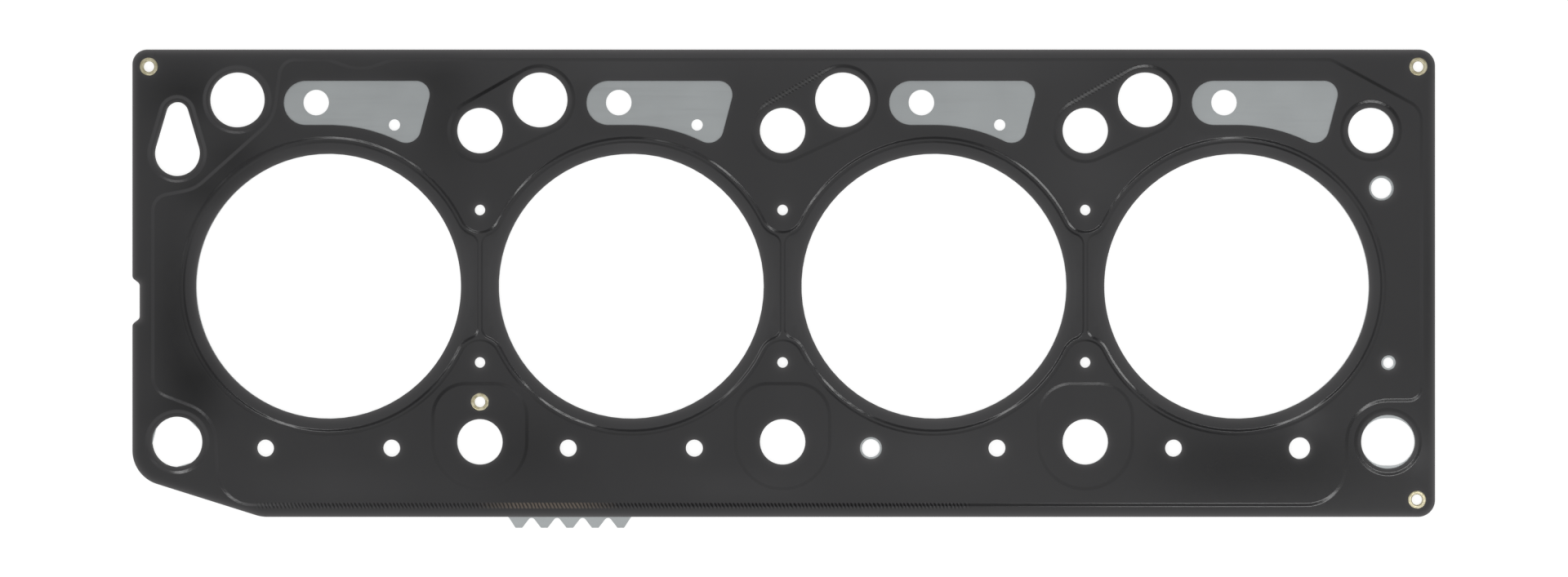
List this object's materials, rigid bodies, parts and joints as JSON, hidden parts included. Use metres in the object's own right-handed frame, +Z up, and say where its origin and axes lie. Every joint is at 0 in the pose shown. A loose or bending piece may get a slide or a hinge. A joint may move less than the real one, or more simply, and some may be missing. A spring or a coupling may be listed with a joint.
{
  "type": "cylinder head gasket",
  "caption": "Layered-steel cylinder head gasket with embossed sealing beads round a row of bores, bolt and coolant holes, windows, brass eyelets and a notched tab.",
  "frame": {"origin": "middle of the head bolt pattern, on the underside (block side)", "axes": "+X along the cylinder row, to the end without the notch; +Y across it, to the side with the windows; +Z up, from the block to the head"},
  "size_m": [0.4131, 0.1518, 0.0019],
  "materials": {
    "sealing_coat": "satin black rubber coat on spring steel",
    "bare_steel": "dull cold-rolled steel",
    "brass": "plain pressed brass"
  },
  "bodies": {
    "root": {"carrier_layer": "bare_steel", "upper_active_layer": "sealing_coat", "lower_active_layer": "sealing_coat", "stopper_ring_1": "bare_steel", "stopper_ring_2": "bare_steel", "stopper_ring_3": "bare_steel", "stopper_ring_4": "bare_steel", "eyelet_top_left": "brass", "eyelet_top_right": "brass", "eyelet_bolt_loop": "brass", "eyelet_bottom_right": "brass"}
  },
  "joints": []
}
